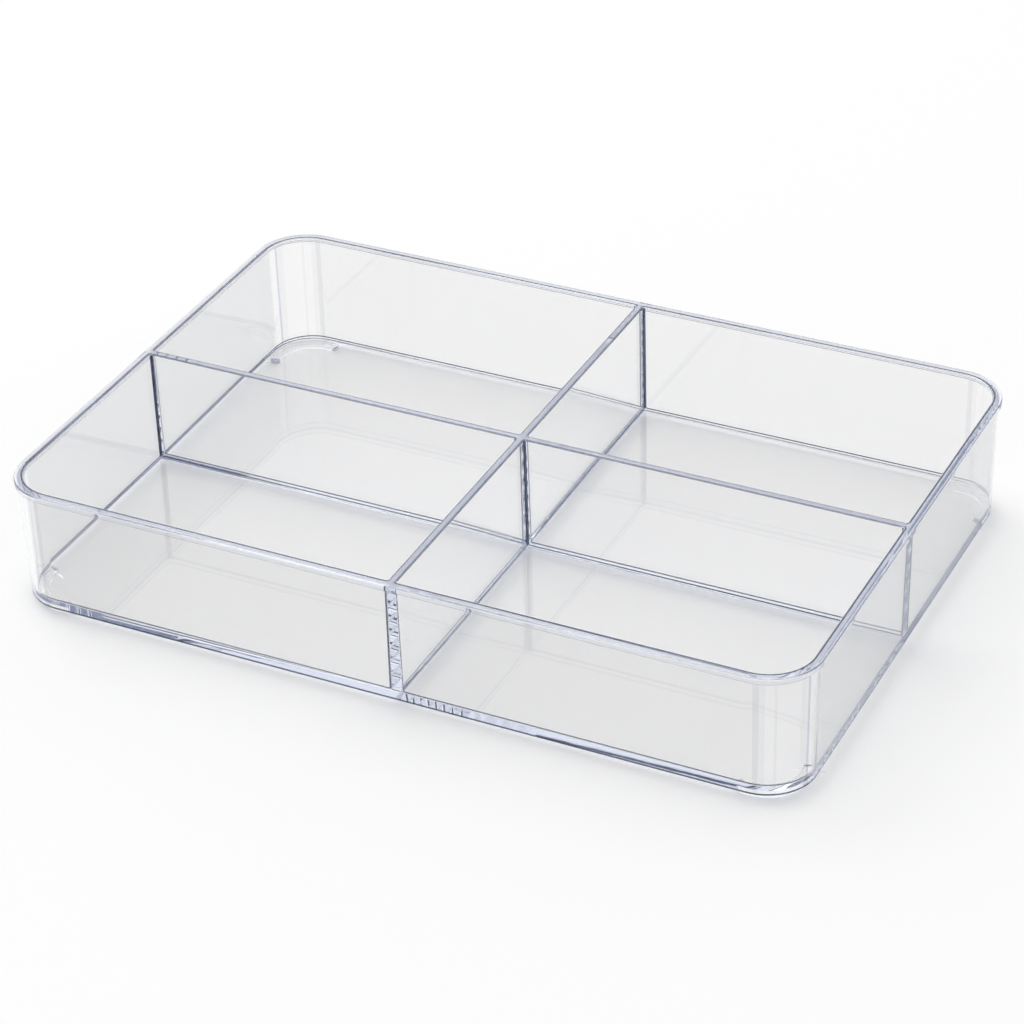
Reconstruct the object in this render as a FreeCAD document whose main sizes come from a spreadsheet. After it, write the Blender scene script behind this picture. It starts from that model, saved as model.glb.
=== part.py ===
import FreeCAD, Part
import math
import os
import Sketcher
from FreeCAD import Vector

# Clear drawer organizer, injection moulded in one piece: an open tray with four compartments.
# X runs along its length, Y from front to back and Z up. The origin lies under the tray's
# middle, on the surface that its four feet stand on.

# Lengths are in millimetres and drafts in degrees.
SIZES = {
    "tray_length": 304.0,
    "tray_width": 210.0,
    "tray_height": 50.0,
    "corner_radius": 19.5,
    "lip_projection": 1.1,
    "lip_height": 2.4,
    "wall_thickness": 2.4,
    "divider_thickness": 3.0,
    "floor_thickness": 2.8,
    "cross_divider_place": 4.0,
    "long_divider_place": -1.5,
    "wall_draft": 0.7,
    "compartment_draft": 0.5,
    "compartment_fillet": 0.8,
    "bottom_round": 0.6,
    "lip_top_round": 0.6,
    "lip_low_round": 0.4,
    "inner_top_round": 0.4,
    "foot_height": 2.2,
    "foot_width": 3.6,
    "foot_margin": 1.5,
    "foot_reach": 3.0,
    "foot_round": 0.5,
}

# Two coordinates nearer than this are the same place.
SAME = 0.001

# Outside faces of the walls under the lip, and the compartments' limits, at the rim's height.
WALL_X = "(Sizes.tray_length / 2 - Sizes.lip_projection)"
WALL_Y = "(Sizes.tray_width / 2 - Sizes.lip_projection)"
INSIDE_X = "(Sizes.tray_length / 2 - Sizes.lip_projection - Sizes.wall_thickness)"
INSIDE_Y = "(Sizes.tray_width / 2 - Sizes.lip_projection - Sizes.wall_thickness)"

# Depth of the walls from the rim to the underside of the floor, and what the draft takes there.
WALL_DEPTH = "(Sizes.tray_height - Sizes.foot_height)"
BOTTOM_INSET = f"{WALL_DEPTH} * tan(Sizes.wall_draft)"


def make_sheet(doc):
    sheet = doc.addObject("Spreadsheet::Sheet", "Sizes")
    for row, (name, value) in enumerate(SIZES.items(), start=1):
        sheet.set(f"A{row}", name)
        sheet.set(f"B{row}", str(value))
        sheet.setAlias(f"B{row}", name)
    doc.recompute()


def origin_plane(body, role):
    for feature in body.Origin.OriginFeatures:
        if feature.Role == role:
            return feature


def new_feature(body, kind, name, **bound):
    """Adds a feature whose given properties follow the sheet."""
    feature = body.newObject(f"PartDesign::{kind}", name)
    for quantity, expression in bound.items():
        feature.setExpression(quantity, expression)
    return feature


def new_sketch(body, name, **offset):
    """Adds a level sketch, its own origin at the given x, y and z."""
    sketch = body.newObject("Sketcher::SketchObject", name)
    sketch.AttachmentSupport = [(origin_plane(body, "XY_Plane"), "")]
    sketch.MapMode = "FlatFace"
    for axis, expression in offset.items():
        sketch.setExpression(f"AttachmentOffset.Base.{axis}", expression)
    return sketch


def dimension(sketch, name, expression, *constraint):
    """Adds a driving dimension that follows the sheet."""
    value = float(sketch.evalExpression(expression))
    index = sketch.addConstraint(Sketcher.Constraint(*constraint, value))
    sketch.renameConstraint(index, name)
    sketch.setExpression(f"Constraints.{name}", expression)


def draw_rectangle(sketch, left, right, front, back):
    """Draws a rectangle between four places, each measured from the sketch's origin."""
    x0, x1, y0, y1 = (float(sketch.evalExpression(side)) for side in (left, right, front, back))
    corners = [Vector(x0, y0), Vector(x1, y0), Vector(x1, y1), Vector(x0, y1)]
    ends = corners[1:] + corners[:1]
    lines = [sketch.addGeometry(Part.LineSegment(a, b), False) for a, b in zip(corners, ends)]
    for line, direction in zip(lines, ("Horizontal", "Vertical", "Horizontal", "Vertical")):
        sketch.addConstraint(Sketcher.Constraint(direction, line))
    for line, following in zip(lines, lines[1:] + lines[:1]):
        sketch.addConstraint(Sketcher.Constraint("Coincident", line, 2, following, 1))
    dimension(sketch, "left", left, "DistanceX", -1, 1, lines[3], 1)
    dimension(sketch, "right", right, "DistanceX", -1, 1, lines[1], 1)
    dimension(sketch, "front", front, "DistanceY", -1, 1, lines[0], 1)
    dimension(sketch, "back", back, "DistanceY", -1, 1, lines[2], 1)


def draw_foot(sketch, radius, width, reach):
    """Draws a curved bar about the sketch's origin, its rounded ends past the quarter turn."""
    outer = float(sketch.evalExpression(radius))
    end_radius = float(sketch.evalExpression(width)) / 2
    middle = outer - end_radius
    past = math.asin(float(sketch.evalExpression(reach)) / middle)
    first = Vector(middle * math.cos(past), -middle * math.sin(past))
    last = Vector(-middle * math.sin(past), middle * math.cos(past))
    quarter = math.pi / 2
    spans = [
        (Vector(0, 0), outer, -past, quarter + past),
        (last, end_radius, quarter + past, 3 * quarter + past),
        (Vector(0, 0), outer - 2 * end_radius, -past, quarter + past),
        (first, end_radius, -past - 2 * quarter, -past),
    ]
    arcs = []
    for centre, size, start, end in spans:
        circle = Part.Circle(centre, Vector(0, 0, 1), size)
        arcs.append(sketch.addGeometry(Part.ArcOfCircle(circle, start, end), False))
    outside, last_end, inside, first_end = arcs
    sketch.addConstraint(Sketcher.Constraint("Coincident", outside, 3, -1, 1))
    sketch.addConstraint(Sketcher.Constraint("Coincident", inside, 3, -1, 1))
    joins = [
        (outside, 2, last_end, 1),
        (last_end, 2, inside, 2),
        (inside, 1, first_end, 1),
        (first_end, 2, outside, 1),
    ]
    for join in joins:
        sketch.addConstraint(Sketcher.Constraint("Tangent", *join))
    dimension(sketch, "radius", radius, "Radius", outside)
    dimension(sketch, "end_radius", f"{width} / 2", "Radius", last_end)
    dimension(sketch, "reach_x", reach, "DistanceX", last_end, 3, -1, 1)
    dimension(sketch, "reach_y", reach, "DistanceY", first_end, 3, -1, 1)


def names_of(kind, shape, chosen):
    """Names the faces or edges of a shape that are among the chosen ones."""
    names = []
    for number, item in enumerate(shape.Faces if kind == "Face" else shape.Edges, start=1):
        if any(item.isSame(other) for other in chosen):
            names.append(f"{kind}{number}")
    return names


def is_level(item, height):
    box = item.BoundBox
    return abs(box.ZMin - height) < SAME and abs(box.ZMax - height) < SAME


def level_face(shape, height):
    """The largest level face at a height."""
    return max((face for face in shape.Faces if is_level(face, height)), key=lambda face: face.Area)


def level_edges(shape, height):
    return [edge for edge in shape.Edges if is_level(edge, height)]


def upright_edges(shape, x, y):
    """Upright edges that stand x and y away from the middle, on any side of it."""
    found = []
    for edge in shape.Edges:
        box = edge.BoundBox
        is_upright = box.XLength < SAME and box.YLength < SAME and box.ZLength > SAME
        if is_upright and abs(abs(box.XMin) - x) < SAME and abs(abs(box.YMin) - y) < SAME:
            found.append(edge)
    return found


def reaches_down_to(face, height):
    """Whether an upright face has its lower end at a height."""
    return face.BoundBox.ZLength > SAME and abs(face.BoundBox.ZMin - height) < SAME


def wall_corner_edges(shape):
    """Upright edges where two flat walls meet without a rounded corner."""
    found = []
    for edge in shape.Edges:
        faces = shape.ancestorsOfType(edge, Part.Face)
        if edge.BoundBox.ZLength > SAME and all(isinstance(face.Surface, Part.Plane) for face in faces):
            found.append(edge)
    return found


def add_fillet(doc, body, name, base, edges, radius):
    fillet = new_feature(body, "Fillet", name, Radius=radius)
    fillet.Base = (base, names_of("Edge", base.Shape, edges))
    doc.recompute()
    return fillet


def add_draft(doc, body, name, base, faces, angle, is_outside):
    """Leans faces in towards the middle on their way down, with the rim's outline left as it is."""
    rim = level_face(base.Shape, SIZES["tray_height"])
    draft = new_feature(body, "Draft", name, Angle=angle)
    draft.Base = (base, names_of("Face", base.Shape, faces))
    draft.NeutralPlane = (base, names_of("Face", base.Shape, [rim]))
    draft.Reversed = is_outside
    doc.recompute()
    return draft


def add_block(doc, body, name, half_x, half_y, depth):
    """Pads a rectangle down from the rim's height."""
    sketch = new_sketch(body, f"{name}Outline", z="Sizes.tray_height")
    draw_rectangle(sketch, f"-{half_x}", half_x, f"-{half_y}", half_y)
    pad = new_feature(body, "Pad", name, Length=depth)
    pad.Profile = sketch
    pad.Reversed = True
    doc.recompute()
    return pad


def cut_compartments(doc, body):
    """Four compartments, which leave the long divider and the cross divider between them."""
    half = "Sizes.divider_thickness / 2"
    across = {
        "Left": (f"-{INSIDE_X}", f"Sizes.cross_divider_place - {half}"),
        "Right": (f"Sizes.cross_divider_place + {half}", INSIDE_X),
    }
    along = {
        "Front": (f"-{INSIDE_Y}", f"Sizes.long_divider_place - {half}"),
        "Back": (f"Sizes.long_divider_place + {half}", INSIDE_Y),
    }
    for side, (left, right) in across.items():
        for end, (front, back) in along.items():
            sketch = new_sketch(body, f"{side}{end}Outline", z="Sizes.tray_height")
            draw_rectangle(sketch, left, right, front, back)
            depth = f"{WALL_DEPTH} - Sizes.floor_thickness"
            pocket = new_feature(body, "Pocket", f"{side}{end}Compartment", Length=depth)
            pocket.Profile = sketch
            doc.recompute()
    return pocket


def round_corners(doc, body, base):
    """Concentric rounded corners on the lip, on the walls under it and inside the compartments."""
    wall_radius = "Sizes.corner_radius - Sizes.lip_projection"
    corners = {
        "LipCorners": ("Sizes.tray_length / 2", "Sizes.tray_width / 2", "Sizes.corner_radius"),
        "WallCorners": (WALL_X, WALL_Y, wall_radius),
        "CompartmentCorners": (INSIDE_X, INSIDE_Y, f"{wall_radius} - Sizes.wall_thickness"),
    }
    for name, (half_x, half_y, radius) in corners.items():
        x, y = (float(base.evalExpression(half)) for half in (half_x, half_y))
        base = add_fillet(doc, body, name, base, upright_edges(base.Shape, x, y), radius)
    return base


def lean_walls(doc, body, base):
    """Draft, so that the walls outside and the compartments narrow towards the floor."""
    underside = SIZES["foot_height"]
    outside = [face for face in base.Shape.Faces if reaches_down_to(face, underside)]
    walls = add_draft(doc, body, "WallDraft", base, outside, "Sizes.wall_draft", True)
    floor = underside + SIZES["floor_thickness"]
    inside = [face for face in walls.Shape.Faces if reaches_down_to(face, floor)]
    return add_draft(doc, body, "CompartmentDraft", walls, inside, "Sizes.compartment_draft", False)


def fillet_compartments(doc, body, base):
    """Fillets where the dividers meet the walls and each other, and all round each floor."""
    floor = SIZES["foot_height"] + SIZES["floor_thickness"]
    edges = wall_corner_edges(base.Shape) + level_edges(base.Shape, floor)
    return add_fillet(doc, body, "CompartmentFillets", base, edges, "Sizes.compartment_fillet")


def round_rim(doc, body, base):
    """Small roundings on the lip and along the tops of the walls and dividers."""
    top = SIZES["tray_height"]
    under = top - SIZES["lip_height"]
    lip_edges = level_face(base.Shape, top).OuterWire.Edges
    upper = add_fillet(doc, body, "LipTopRound", base, lip_edges, "Sizes.lip_top_round")
    low_edges = level_face(upper.Shape, under).OuterWire.Edges
    lower = add_fillet(doc, body, "LipLowRound", upper, low_edges, "Sizes.lip_low_round")
    face = level_face(lower.Shape, top)
    inner = [edge for wire in face.Wires if not wire.isSame(face.OuterWire) for edge in wire.Edges]
    return add_fillet(doc, body, "InnerTopRound", lower, inner, "Sizes.inner_top_round")


def add_feet(doc, body, base):
    """A rounded bottom edge, and a low curved foot under each corner."""
    underside = level_edges(base.Shape, SIZES["foot_height"])
    add_fillet(doc, body, "BottomRound", base, underside, "Sizes.bottom_round")
    sketch = new_sketch(
        body,
        "FootOutline",
        x="Sizes.tray_length / 2 - Sizes.corner_radius",
        y="Sizes.tray_width / 2 - Sizes.corner_radius",
        z="Sizes.foot_height",
    )
    flat_radius = f"Sizes.corner_radius - Sizes.lip_projection - {BOTTOM_INSET} - Sizes.bottom_round"
    draw_foot(sketch, f"{flat_radius} - Sizes.foot_margin", "Sizes.foot_width", "Sizes.foot_reach")
    foot = new_feature(body, "Pad", "Foot", Length="Sizes.foot_height")
    foot.Profile = sketch
    foot.Reversed = True
    doc.recompute()
    feet = new_feature(body, "MultiTransform", "Feet")
    feet.Originals = [foot]
    mirrors = []
    for name, role in (("AcrossLength", "YZ_Plane"), ("AcrossWidth", "XZ_Plane")):
        mirror = new_feature(body, "Mirrored", name)
        mirror.MirrorPlane = (origin_plane(body, role), [""])
        mirrors.append(mirror)
    feet.Transformations = mirrors
    body.Tip = feet
    doc.recompute()
    return add_fillet(doc, body, "FootRound", feet, level_edges(feet.Shape, 0.0), "Sizes.foot_round")


def check(doc, body):
    """Stops if a feature has failed or the tray isn't one valid solid of the right size."""
    for feature in doc.Objects:
        if "Invalid" in feature.State or "Error" in feature.State:
            raise RuntimeError(f"{feature.Name} failed")
    shape = body.Shape
    if shape.isNull() or not shape.isValid() or len(shape.Solids) != 1:
        raise RuntimeError("the tray isn't one valid solid")
    box = shape.optimalBoundingBox(False, False)
    size = (box.XLength, box.YLength, box.ZLength)
    wanted = (SIZES["tray_length"], SIZES["tray_width"], SIZES["tray_height"])
    if any(abs(got - want) > SAME for got, want in zip(size, wanted)):
        raise RuntimeError(f"the tray measures {size}")


def main():
    doc = FreeCAD.newDocument("DrawerOrganizer")
    make_sheet(doc)
    body = doc.addObject("PartDesign::Body", "Tray")
    body.Label = "tray"
    add_block(doc, body, "Walls", WALL_X, WALL_Y, WALL_DEPTH)
    add_block(doc, body, "Lip", "Sizes.tray_length / 2", "Sizes.tray_width / 2", "Sizes.lip_height")
    tray = cut_compartments(doc, body)
    for step in (round_corners, lean_walls, fillet_compartments, round_rim, add_feet):
        tray = step(doc, body, tray)
    body.Tip = tray
    doc.recompute()
    check(doc, body)
    os.makedirs("parts", exist_ok=True)
    body.Shape.exportStep(f"parts/{body.Label}.step")
    print(f"volume {body.Shape.Volume:.1f} mm3, faces {len(body.Shape.Faces)}")


main()
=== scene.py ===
import math
import bmesh
import bpy
from mathutils import Matrix, Vector


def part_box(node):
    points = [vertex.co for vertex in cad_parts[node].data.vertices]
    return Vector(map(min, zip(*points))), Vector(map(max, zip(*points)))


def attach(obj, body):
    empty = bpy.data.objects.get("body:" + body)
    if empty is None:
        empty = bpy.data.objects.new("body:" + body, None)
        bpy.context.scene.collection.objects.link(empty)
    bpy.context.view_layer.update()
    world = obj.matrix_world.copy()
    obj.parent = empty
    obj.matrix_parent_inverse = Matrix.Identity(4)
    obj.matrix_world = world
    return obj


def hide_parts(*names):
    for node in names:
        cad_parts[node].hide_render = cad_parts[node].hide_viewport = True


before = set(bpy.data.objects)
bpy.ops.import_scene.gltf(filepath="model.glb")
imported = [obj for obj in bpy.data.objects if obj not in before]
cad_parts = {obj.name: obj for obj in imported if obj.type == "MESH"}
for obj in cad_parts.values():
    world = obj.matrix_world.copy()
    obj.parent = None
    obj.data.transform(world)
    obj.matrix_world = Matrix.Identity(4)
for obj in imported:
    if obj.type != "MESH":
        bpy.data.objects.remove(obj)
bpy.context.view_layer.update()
bpy.ops.object.select_all(action="DESELECT")

# The tray. Crystal polystyrene, injection moulded in one shot in a polished steel mould, so every
# face is glossy, every edge has a small round, and walls, dividers and floor are one clear body.
MM = 0.001
LIP_PROJECTION = 1.1 * MM
LIP_HEIGHT = 2.4 * MM
LIP_TOP_ROUND = 0.6 * MM
LIP_LOW_ROUND = 0.4 * MM
CORNER_RADIUS = 19.5 * MM
WALL_THICKNESS = 2.4 * MM
DIVIDER_THICKNESS = 3.0 * MM
CROSS_DIVIDER_PLACE = 4.0 * MM
LONG_DIVIDER_PLACE = -1.5 * MM
FLOOR_THICKNESS = 2.8 * MM
FOOT_HEIGHT = 2.2 * MM
WALL_DRAFT = math.radians(0.7)
COMPARTMENT_DRAFT = math.radians(0.5)
COMPARTMENT_FILLET = 0.8 * MM
INNER_TOP_ROUND = 0.4 * MM
BOTTOM_ROUND = 0.6 * MM
CORNER_STEPS = 28
FILLET_STEPS = 10
EDGE_STEPS = 5
NEAR = 0.01 * MM
SHARP = math.radians(60)

# The eye reads a clear moulding by its edges: light that meets a round is bent away, so the edge
# shows as a fine slate line beside a bright one, and the end of a wall looks lilac. These are painted:
# each face keeps a tone, of painted shade, painted light or none, which the plastic's material turns into its tint.
PANEL = 0.0
PAINTED_LIGHT = 0.2
PAINTED_LILAC_SHADE = 0.4
PAINTED_SLATE_SHADE = 0.8
PAINTED_SHADE = 1.0
LIP_TONES = (PAINTED_LIGHT, PAINTED_LIGHT, PAINTED_LIGHT)
LIP_LOW_TONES = (PAINTED_SLATE_SHADE, PAINTED_LIGHT, PAINTED_LIGHT)
BOTTOM_TONES = (PAINTED_SLATE_SHADE, PAINTED_SLATE_SHADE, PAINTED_LIGHT, PAINTED_LIGHT, PAINTED_LIGHT)
FILLET_TONES = (PAINTED_SLATE_SHADE, PAINTED_LIGHT, PAINTED_LIGHT, PAINTED_LIGHT, PAINTED_LIGHT)
INNER_TOP_TONES = (PAINTED_LIGHT, PAINTED_LIGHT, PAINTED_LIGHT)
PAINTED_DIVIDER_ROUND_SHADE = 0.7
TOP_LINE = 0.2 * MM
BOTTOM_LINE = 0.4 * MM
FLOOR_LINE = 0.35 * MM
PAINTED_LIP_SIDE_TONE = 0.3
RIM_LINE = 0.4 * MM
PAINTED_PALE_TONE = 0.28
# Painted bands of light and shade on the corner columns: each tone reaches to its angle, in degrees from the front or
# back wall.
PAINTED_CORNER_BANDS = (
    (4, PANEL), (7, PANEL), (14, PAINTED_SHADE), (18, PANEL), (28, PAINTED_LIGHT), (32, PANEL), (37, PAINTED_LIGHT), (57, PAINTED_LIGHT),
    (66, PANEL), (70, 0.45), (80, PAINTED_LIGHT), (85, PANEL), (90, PAINTED_SHADE),
)

tray_low, tray_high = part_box("tray")
RIM_HEIGHT = tray_high.z
LIP_UNDERSIDE = RIM_HEIGHT - LIP_HEIGHT
FLOOR_TOP = FOOT_HEIGHT + FLOOR_THICKNESS


def add_box(name, low, high):
    """Adds a box between two corners, with its place in its mesh, and opens it in edit mode."""
    bpy.ops.mesh.primitive_cube_add(size=1, location=(low + high) / 2)
    piece = bpy.context.active_object
    piece.name = piece.data.name = name
    piece.scale = high - low
    bpy.ops.object.transform_apply(location=True, rotation=True, scale=True)
    bpy.ops.object.mode_set(mode="EDIT")
    return piece


def select(kind, wanted):
    """Selects only the faces or edges that a test accepts."""
    bpy.ops.mesh.select_mode(type="FACE" if kind == "faces" else "EDGE")
    bpy.ops.mesh.select_all(action="DESELECT")
    data = bpy.context.active_object.data
    shape = bmesh.from_edit_mesh(data)
    for item in [item for item in getattr(shape, kind) if wanted(item)]:
        item.select_set(True)
    bmesh.update_edit_mesh(data)


def middle(item):
    return sum((vertex.co for vertex in item.verts), Vector()) / len(item.verts)


def is_level(item, height):
    return all(abs(vertex.co.z - height) < NEAR for vertex in item.verts)


def is_upright(edge):
    return abs(edge.verts[0].co.z - edge.verts[1].co.z) > NEAR


def is_sharp(edge):
    return edge.calc_face_angle(0) > SHARP


def faces_at(height):
    select("faces", lambda face: is_level(face, height))


def open_shape():
    """The mesh in edit mode, and its layer of painted light and shade tones."""
    shape = bmesh.from_edit_mesh(bpy.context.active_object.data)
    return shape, shape.faces.layers.float.get("painted_edge_light_and_shade") or shape.faces.layers.float.new("painted_edge_light_and_shade")


def paint_light_and_shade(tone, wanted):
    """Gives a painted light and shade tone to the faces that a test accepts."""
    shape, layer = open_shape()
    for face in shape.faces:
        if wanted(face):
            face[layer] = tone
    bmesh.update_edit_mesh(bpy.context.active_object.data)


def round_edges(radius, steps, tones=()):
    """Rounds the selected edges. The tones of painted light and shade go to the round's strips, from both borders
    inwards.
    """
    bpy.ops.mesh.bevel(offset=radius, offset_type="OFFSET", segments=steps, affect="EDGES")
    shape, layer = open_shape()
    left = {face for face in shape.faces if face.select}
    for tone in tones:
        strip = {face for face in left if any(near not in left for edge in face.edges for near in edge.link_faces)}
        for face in strip:
            face[layer] = tone
        left -= strip
    bmesh.update_edit_mesh(bpy.context.active_object.data)


tray = add_box("clear_tray", Vector((tray_low.x, tray_low.y, LIP_UNDERSIDE)), tray_high)
select("edges", is_upright)
round_edges(CORNER_RADIUS, CORNER_STEPS)
# The lip's top round is painted light; its lower round has a painted slate line of shade along both borders, with
# painted light between.
select("edges", lambda edge: is_level(edge, RIM_HEIGHT))
round_edges(LIP_TOP_ROUND, EDGE_STEPS, LIP_TONES)
select("edges", lambda edge: is_level(edge, LIP_UNDERSIDE))
round_edges(LIP_LOW_ROUND, EDGE_STEPS, LIP_LOW_TONES)

# The walls go down from the lip's underside to the underside of the floor, and lean in a little.
wall_drop = LIP_UNDERSIDE - FOOT_HEIGHT
faces_at(LIP_UNDERSIDE)
bpy.ops.mesh.inset(thickness=LIP_PROJECTION - LIP_LOW_ROUND + LIP_HEIGHT * math.tan(WALL_DRAFT))
bpy.ops.mesh.inset(thickness=wall_drop * math.tan(WALL_DRAFT), depth=wall_drop)
# The bottom round and a thin band of wall above it are painted slate: a painted line of shade along the foot of the
# wall.
select("edges", lambda edge: is_level(edge, FOOT_HEIGHT))
round_edges(BOTTOM_ROUND, FILLET_STEPS, BOTTOM_TONES)
line_top = FOOT_HEIGHT + BOTTOM_ROUND + BOTTOM_LINE
bpy.ops.mesh.select_all(action="SELECT")
bpy.ops.mesh.bisect(plane_co=(0, 0, line_top), plane_no=(0, 0, 1))
paint_light_and_shade(PAINTED_SLATE_SHADE, lambda face: not is_level(face, FOOT_HEIGHT) and max(v.co.z for v in face.verts) < line_top + NEAR)

# The rim is the wall and the lip together. Inside it the two dividers are marked out, and the
# four compartments between them are sunk to the floor.
faces_at(RIM_HEIGHT)
bpy.ops.mesh.inset(thickness=LIP_PROJECTION + WALL_THICKNESS - LIP_TOP_ROUND)
for place, axis in ((CROSS_DIVIDER_PLACE, Vector((1, 0, 0))), (LONG_DIVIDER_PLACE, Vector((0, 1, 0)))):
    for side in (-DIVIDER_THICKNESS / 2, DIVIDER_THICKNESS / 2):
        faces_at(RIM_HEIGHT)
        bpy.ops.mesh.bisect(plane_co=axis * (place + side), plane_no=axis)
compartment_drop = RIM_HEIGHT - FLOOR_TOP
LEAST_COMPARTMENT = (50 * MM) ** 2
select("faces", lambda face: is_level(face, RIM_HEIGHT) and face.calc_area() > LEAST_COMPARTMENT)
bpy.ops.mesh.inset(
    thickness=compartment_drop * math.tan(COMPARTMENT_DRAFT),
    depth=-compartment_drop,
    use_individual=True,
)


def is_divider_mark(edge):
    """Whether an edge only marks out a divider or the rim on the level top."""
    place = middle(edge)
    in_corner = (
        abs(place.x) > tray_high.x - CORNER_RADIUS - NEAR
        and abs(place.y) > tray_high.y - CORNER_RADIUS - NEAR
    )
    return is_level(edge, RIM_HEIGHT) and all(is_level(face, RIM_HEIGHT) for face in edge.link_faces) and not in_corner


select("edges", is_divider_mark)
bpy.ops.mesh.dissolve_edges(use_verts=True)
select(
    "edges",
    lambda edge: is_sharp(edge) and (is_level(edge, FLOOR_TOP) or is_upright(edge) and middle(edge).z < LIP_UNDERSIDE),
)
round_edges(COMPARTMENT_FILLET, FILLET_STEPS, FILLET_TONES)
select("edges", lambda edge: is_level(edge, RIM_HEIGHT) and is_sharp(edge))
round_edges(INNER_TOP_ROUND, EDGE_STEPS, INNER_TOP_TONES)
bpy.ops.mesh.select_all(action="DESELECT")


def inside_depth(place):
    """How far a point lies inside the rim's outline, seen from above."""
    x = abs(place.x) - tray_high.x + CORNER_RADIUS
    y = abs(place.y) - tray_high.y + CORNER_RADIUS
    return CORNER_RADIUS - math.hypot(max(x, 0), max(y, 0)) - min(max(x, y), 0)


# A painted slate line of shade runs along both borders of the fillet round each compartment's floor, with painted
# light between.
def is_inner(face):
    return inside_depth(middle(face)) > LIP_PROJECTION + WALL_THICKNESS - 0.6 * MM


fillet_top = FLOOR_TOP + COMPARTMENT_FILLET
line_height = fillet_top + FLOOR_LINE
select("faces", is_inner)
bpy.ops.mesh.bisect(plane_co=(0, 0, line_height), plane_no=(0, 0, 1))
paint_light_and_shade(
    PAINTED_SLATE_SHADE,
    lambda face: is_inner(face)
    and min(v.co.z for v in face.verts) > fillet_top - 0.1 * MM
    and max(v.co.z for v in face.verts) < line_height + NEAR,
)
faces_at(FLOOR_TOP)
bpy.ops.mesh.inset(thickness=FLOOR_LINE)
paint_light_and_shade(PAINTED_SLATE_SHADE, lambda face: is_level(face, FLOOR_TOP) and not face.select)


# The top faces of the rim and the dividers are painted a lilac shade, with a painted slate line of shade along each
# compartment.
def is_outer(face):
    return inside_depth(middle(face)) < LIP_PROJECTION + WALL_THICKNESS / 2


faces_at(RIM_HEIGHT)
bpy.ops.mesh.inset(thickness=TOP_LINE)
paint_light_and_shade(PAINTED_SLATE_SHADE, lambda face: is_level(face, RIM_HEIGHT) and not face.select)
paint_light_and_shade(PAINTED_LIGHT, lambda face: is_level(face, RIM_HEIGHT) and not face.select and is_outer(face))
paint_light_and_shade(PAINTED_LILAC_SHADE, lambda face: face.select)
# The rim's outer border gets a pale painted tone, and the wall's inner border a painted slate line.
bpy.ops.mesh.inset(thickness=RIM_LINE)
shape, layer = open_shape()
for face in shape.faces:
    if is_level(face, RIM_HEIGHT) and not face.select and abs(face[layer] - PAINTED_LILAC_SHADE) < 0.01:
        if is_outer(face):
            face[layer] = PAINTED_PALE_TONE
        elif inside_depth(middle(face)) < LIP_PROJECTION + WALL_THICKNESS:
            face[layer] = PAINTED_SLATE_SHADE
bmesh.update_edit_mesh(bpy.context.active_object.data)
# The dividers' top rounds get a darker painted shade.
paint_light_and_shade(
    PAINTED_DIVIDER_ROUND_SHADE,
    lambda face: min(v.co.z for v in face.verts) > RIM_HEIGHT - INNER_TOP_ROUND - NEAR
    and not is_level(face, RIM_HEIGHT)
    and inside_depth(middle(face)) > LIP_PROJECTION + WALL_THICKNESS + COMPARTMENT_FILLET,
)
# The lip's side gets a pale painted tone.
paint_light_and_shade(
    PAINTED_LIP_SIDE_TONE,
    lambda face: max(v.co.z for v in face.verts) < RIM_HEIGHT - LIP_TOP_ROUND + NEAR
    and min(v.co.z for v in face.verts) > LIP_UNDERSIDE + LIP_LOW_ROUND - NEAR
    and inside_depth(middle(face)) < LIP_PROJECTION / 2,
)

# Painted light: the dividers' faces are tinted clear white, lighter than the outer walls.
paint_light_and_shade(
    PAINTED_LIGHT,
    lambda face: abs(face.normal.z) < 0.1
    and face.calc_area() > (20 * MM) ** 2
    and (abs(middle(face).x - CROSS_DIVIDER_PLACE) < 4 * MM or abs(middle(face).y - LONG_DIVIDER_PLACE) < 4 * MM),
)


def corner_angle(face):
    return math.degrees(math.atan2(abs(face.normal.x), abs(face.normal.y)))


# Painted shade: the outer faces of the two side walls are tinted a darker grey.
paint_light_and_shade(
    PAINTED_SHADE,
    lambda face: abs(face.normal.x) > 0.99 and abs(middle(face).x) > tray_high.x - LIP_PROJECTION - 1.5 * MM
    and middle(face).z < LIP_UNDERSIDE and max(v.co.z for v in face.verts) > line_top + NEAR,
)
# The corner columns get their painted bands of light and shade.
last = 2.0
for angle, tone in PAINTED_CORNER_BANDS:
    paint_light_and_shade(
        tone,
        lambda face: last < corner_angle(face) < angle
        and abs(face.normal.z) < 0.1
        and middle(face).z < LIP_UNDERSIDE
        and max(v.co.z for v in face.verts) > line_top + NEAR
        and inside_depth(middle(face)) < LIP_PROJECTION + 1.0 * MM,
    )
    last = angle
bpy.ops.object.mode_set(mode="OBJECT")


# The feet. A low curved bar under each corner, moulded with the tray, that follows the rounded
# corner just inside it and carries the tray clear of the drawer's bottom.
FOOT_WIDTH = 3.6 * MM
FOOT_MARGIN = 1.5 * MM
FOOT_REACH = 3.0 * MM
FOOT_ROUND = 0.5 * MM
FOOT_OVERLAP = 0.8 * MM
FOOT_STEPS = 40
flat_radius = (
    CORNER_RADIUS - LIP_PROJECTION - (RIM_HEIGHT - FOOT_HEIGHT) * math.tan(WALL_DRAFT) - BOTTOM_ROUND
)
foot_outer = flat_radius - FOOT_MARGIN
foot_middle = foot_outer - FOOT_WIDTH / 2
corner_centre = Vector((tray_high.x - CORNER_RADIUS, tray_high.y - CORNER_RADIUS, 0))
past_quarter = math.asin(FOOT_REACH / foot_middle) + FOOT_WIDTH / 2 / foot_middle
feet = add_box(
    "feet",
    corner_centre + Vector((foot_outer - FOOT_WIDTH, -NEAR, 0)),
    corner_centre + Vector((foot_outer, NEAR, FOOT_HEIGHT + FOOT_OVERLAP)),
)
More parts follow.
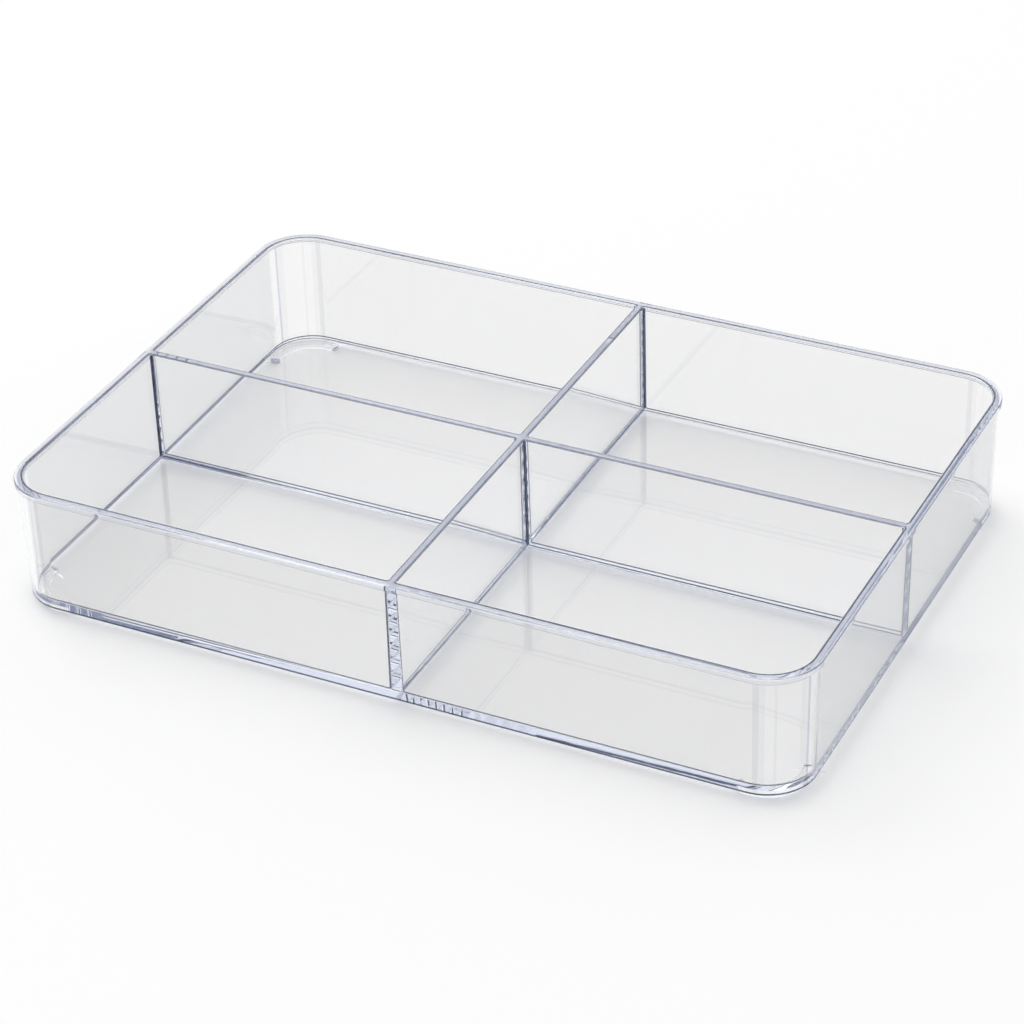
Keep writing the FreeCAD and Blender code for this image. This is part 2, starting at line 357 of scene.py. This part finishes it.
select("faces", lambda face: face.normal.y > 0.9)
bpy.ops.mesh.spin(
    steps=FOOT_STEPS, angle=-math.pi / 2 - 2 * past_quarter, center=corner_centre, axis=(0, 0, 1)
)
bpy.ops.mesh.select_all(action="SELECT")
bpy.ops.transform.rotate(
    value=past_quarter, orient_axis="Z", center_override=corner_centre
)
bpy.ops.mesh.normals_make_consistent(inside=False)
select("edges", lambda edge: is_upright(edge) and is_sharp(edge))
round_edges(FOOT_WIDTH / 2, FILLET_STEPS)
bpy.ops.mesh.select_all(action="SELECT")
bpy.ops.mesh.remove_doubles(threshold=NEAR)
select("faces", lambda face: is_level(face, 0) or is_level(face, FOOT_HEIGHT + FOOT_OVERLAP))
bpy.ops.mesh.dissolve_limited(angle_limit=NEAR)
select("edges", lambda edge: is_level(edge, 0) and is_sharp(edge))
round_edges(FOOT_ROUND, EDGE_STEPS)
# The feet are painted light: tinted clear white.
paint_light_and_shade(PAINTED_LIGHT, lambda face: True)
bpy.ops.object.mode_set(mode="OBJECT")
mirror = feet.modifiers.new("Corners", "MIRROR")
mirror.use_axis = (True, True, False)
bpy.ops.object.modifier_apply(modifier=mirror.name)
bpy.ops.object.select_all(action="DESELECT")
bpy.context.view_layer.objects.active = tray
union = tray.modifiers.new("Feet", "BOOLEAN")
union.operation = "UNION"
union.solver = "EXACT"
union.object = feet
bpy.ops.object.modifier_apply(modifier=union.name)
bpy.data.objects.remove(feet)


# The finish of the whole moulding. Every face is smooth, and the broad flat faces keep their own
# normals right up to the rounds, so that flat walls stay optically flat.
FACET = math.radians(40)
tray.select_set(True)
bpy.ops.object.shade_smooth_by_angle(angle=FACET)
flatten = tray.modifiers.new("Flat", "WEIGHTED_NORMAL")
flatten.keep_sharp = True
flatten.weight = 100
bpy.ops.object.modifier_apply(modifier=flatten.name)


# PANEL_TINT is the plastic's own grey; the lilac, slate and side-wall tints are painted shade, and white is painted
# light.
PANEL_TINT = "#F4F4F4"
PAINTED_LILAC_SHADE_TINT = "#CACEE2"
PAINTED_SLATE_SHADE_TINT = "#10182C"
PAINTED_SHADE_TINT = "#DFE0E2"
RIPPLE_SCALE = 1 / (14 * MM)
RIPPLE_HEIGHT = 0.003 * MM
RUB_SCALE = 1 / (6 * MM)
RUB_ROUGHNESS = 0.03


def linear(hex_colour):
    """An sRGB hex colour as linear red, green, blue and one."""
    parts = [int(hex_colour[n : n + 2], 16) / 255 for n in (1, 3, 5)]
    return [part / 12.92 if part <= 0.04045 else ((part + 0.055) / 1.055) ** 2.4 for part in parts] + [1.0]


def new_material(name):
    """A material with an empty node tree, and its tree."""
    material = bpy.data.materials.new(name)
    material.use_nodes = True
    material.node_tree.nodes.clear()
    return material, material.node_tree


def add_node(tree, kind, settings=(), **inputs):
    """Adds a node. Settings are its properties, and inputs are values or the sockets they come from."""
    node = tree.nodes.new(kind)
    for name, value in dict(settings).items():
        setattr(node, name, value)
    for name, value in inputs.items():
        socket = node.inputs[name.replace("_", " ")]
        if isinstance(value, bpy.types.NodeSocket):
            tree.links.new(value, socket)
        else:
            socket.default_value = value
    return node


polystyrene, tree = new_material("clear moulded polystyrene")
# The tint turns each face's tone of painted light and shade into its colour, over the plastic's own grey.
tone = add_node(tree, "ShaderNodeAttribute", {"attribute_name": "painted_edge_light_and_shade"})
tint = add_node(tree, "ShaderNodeValToRGB", Fac=tone.outputs["Fac"])
tint.color_ramp.elements[0].color = linear(PANEL_TINT)
tint.color_ramp.elements[1].color = linear(PAINTED_SHADE_TINT)
for place, colour in ((PAINTED_LIGHT, "#FFFFFF"), (PAINTED_LILAC_SHADE, PAINTED_LILAC_SHADE_TINT), (PAINTED_SLATE_SHADE, PAINTED_SLATE_SHADE_TINT)):
    tint.color_ramp.elements.new(place).color = linear(colour)
spot = add_node(tree, "ShaderNodeTexCoord")
ripple = add_node(tree, "ShaderNodeTexNoise", Vector=spot.outputs["Object"], Scale=RIPPLE_SCALE, Detail=2.0)
flow = add_node(tree, "ShaderNodeBump", Height=ripple.outputs["Fac"], Strength=1.0, Distance=RIPPLE_HEIGHT)
rub = add_node(tree, "ShaderNodeTexNoise", Vector=spot.outputs["Object"], Scale=RUB_SCALE, Detail=4.0)
polish = add_node(
    tree, "ShaderNodeMapRange", Value=rub.outputs["Fac"], From_Min=0.64, From_Max=0.8, To_Min=0.0, To_Max=RUB_ROUGHNESS
)
surface = add_node(
    tree,
    "ShaderNodeBsdfPrincipled",
    Base_Color=tint.outputs["Color"],
    Roughness=polish.outputs["Result"],
    IOR=1.59,
    Transmission_Weight=1.0,
    Normal=flow.outputs["Normal"],
)
body = add_node(tree, "ShaderNodeVolumeAbsorption", Color=linear("#E6EBF7"), Density=7.0)
add_node(
    tree,
    "ShaderNodeOutputMaterial",
    Surface=surface.outputs["BSDF"],
    Volume=body.outputs["Volume"],
)
tray.data.materials.clear()
tray.data.materials.append(polystyrene)
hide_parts("tray")
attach(tray, "root")

# The studio. A plain white sweep, lit by a pale dome and one large soft lamp behind on the left.
FLOOR_SIZE = 12.0
AIR_GAP = 0.05 * MM
bpy.ops.mesh.primitive_plane_add(size=FLOOR_SIZE, location=(0, 0, -AIR_GAP))
floor = bpy.context.active_object
floor.name = "floor"
paper, tree = new_material("matt white paper")
sheet = add_node(tree, "ShaderNodeBsdfDiffuse", Color=linear("#FDFDFD"))
add_node(tree, "ShaderNodeOutputMaterial", Surface=sheet.outputs["BSDF"])
floor.data.materials.append(paper)

world = bpy.data.worlds.new("studio dome")
bpy.context.scene.world = world
world.use_nodes = True
tree = world.node_tree
tree.nodes.clear()
WINDOW_DIRECTION = (-0.44, 0.70, 0.56)
DOME_LEVEL = 0.72
WINDOW_LEVEL = 1.15
direction = add_node(tree, "ShaderNodeTexCoord")
facing = add_node(tree, "ShaderNodeVectorMath", {"operation": "DOT_PRODUCT"}, Vector=direction.outputs["Generated"])
facing.inputs[1].default_value = WINDOW_DIRECTION
level = add_node(
    tree,
    "ShaderNodeMapRange",
    {"interpolation_type": "SMOOTHSTEP"},
    Value=facing.outputs["Value"],
    From_Min=0.2,
    From_Max=1.0,
    To_Min=DOME_LEVEL,
    To_Max=WINDOW_LEVEL,
)
dome = add_node(tree, "ShaderNodeBackground", Color=linear("#FFFFFF"), Strength=level.outputs["Result"])
add_node(tree, "ShaderNodeOutputWorld", Surface=dome.outputs["Background"])

SOFTBOX_PLACE = Vector((-3.42, 0.92, 4.22))
SOFTBOX_WATTS = 60.0
softbox_data = bpy.data.lights.new("softbox", "AREA")
softbox_data.shape = "RECTANGLE"
softbox_data.size = 4.0
softbox_data.size_y = 3.5
softbox_data.energy = SOFTBOX_WATTS
softbox = bpy.data.objects.new("softbox", softbox_data)
bpy.context.scene.collection.objects.link(softbox)
softbox.location = SOFTBOX_PLACE
softbox.rotation_euler = (-SOFTBOX_PLACE).to_track_quat("-Z", "Y").to_euler()

# The camera. It looks down on the tray from in front on the right, as the photograph does.
SENSOR = 36.0
FOCAL_LENGTH = 118.82
CAMERA_AZIMUTH = math.radians(26.786)
CAMERA_ELEVATION = math.radians(32.734)
CAMERA_ROLL = math.radians(-1.813)
CAMERA_DISTANCE = 1.20545
CAMERA_TARGET = Vector((0.00471, -0.01253, 0.025))
back = Vector(
    (
        math.sin(CAMERA_AZIMUTH) * math.cos(CAMERA_ELEVATION),
        -math.cos(CAMERA_AZIMUTH) * math.cos(CAMERA_ELEVATION),
        math.sin(CAMERA_ELEVATION),
    )
)
camera_data = bpy.data.cameras.new("camera")
camera_data.sensor_width = SENSOR
camera_data.lens = FOCAL_LENGTH
camera = bpy.data.objects.new("camera", camera_data)
bpy.context.scene.collection.objects.link(camera)
camera.location = CAMERA_TARGET + back * CAMERA_DISTANCE
level_turn = (-back).to_track_quat("-Z", "Y").to_matrix()
camera.rotation_euler = (level_turn @ Matrix.Rotation(CAMERA_ROLL, 3, "Z")).to_euler()
bpy.context.scene.camera = camera

scene = bpy.context.scene
scene.view_settings.view_transform = "Standard"
LIGHT_PIPE_BOUNCES = 128
scene.cycles.max_bounces = LIGHT_PIPE_BOUNCES
scene.cycles.transmission_bounces = LIGHT_PIPE_BOUNCES
scene.cycles.glossy_bounces = LIGHT_PIPE_BOUNCES
scene.cycles.diffuse_bounces = 6
scene.cycles.blur_glossy = 0.0
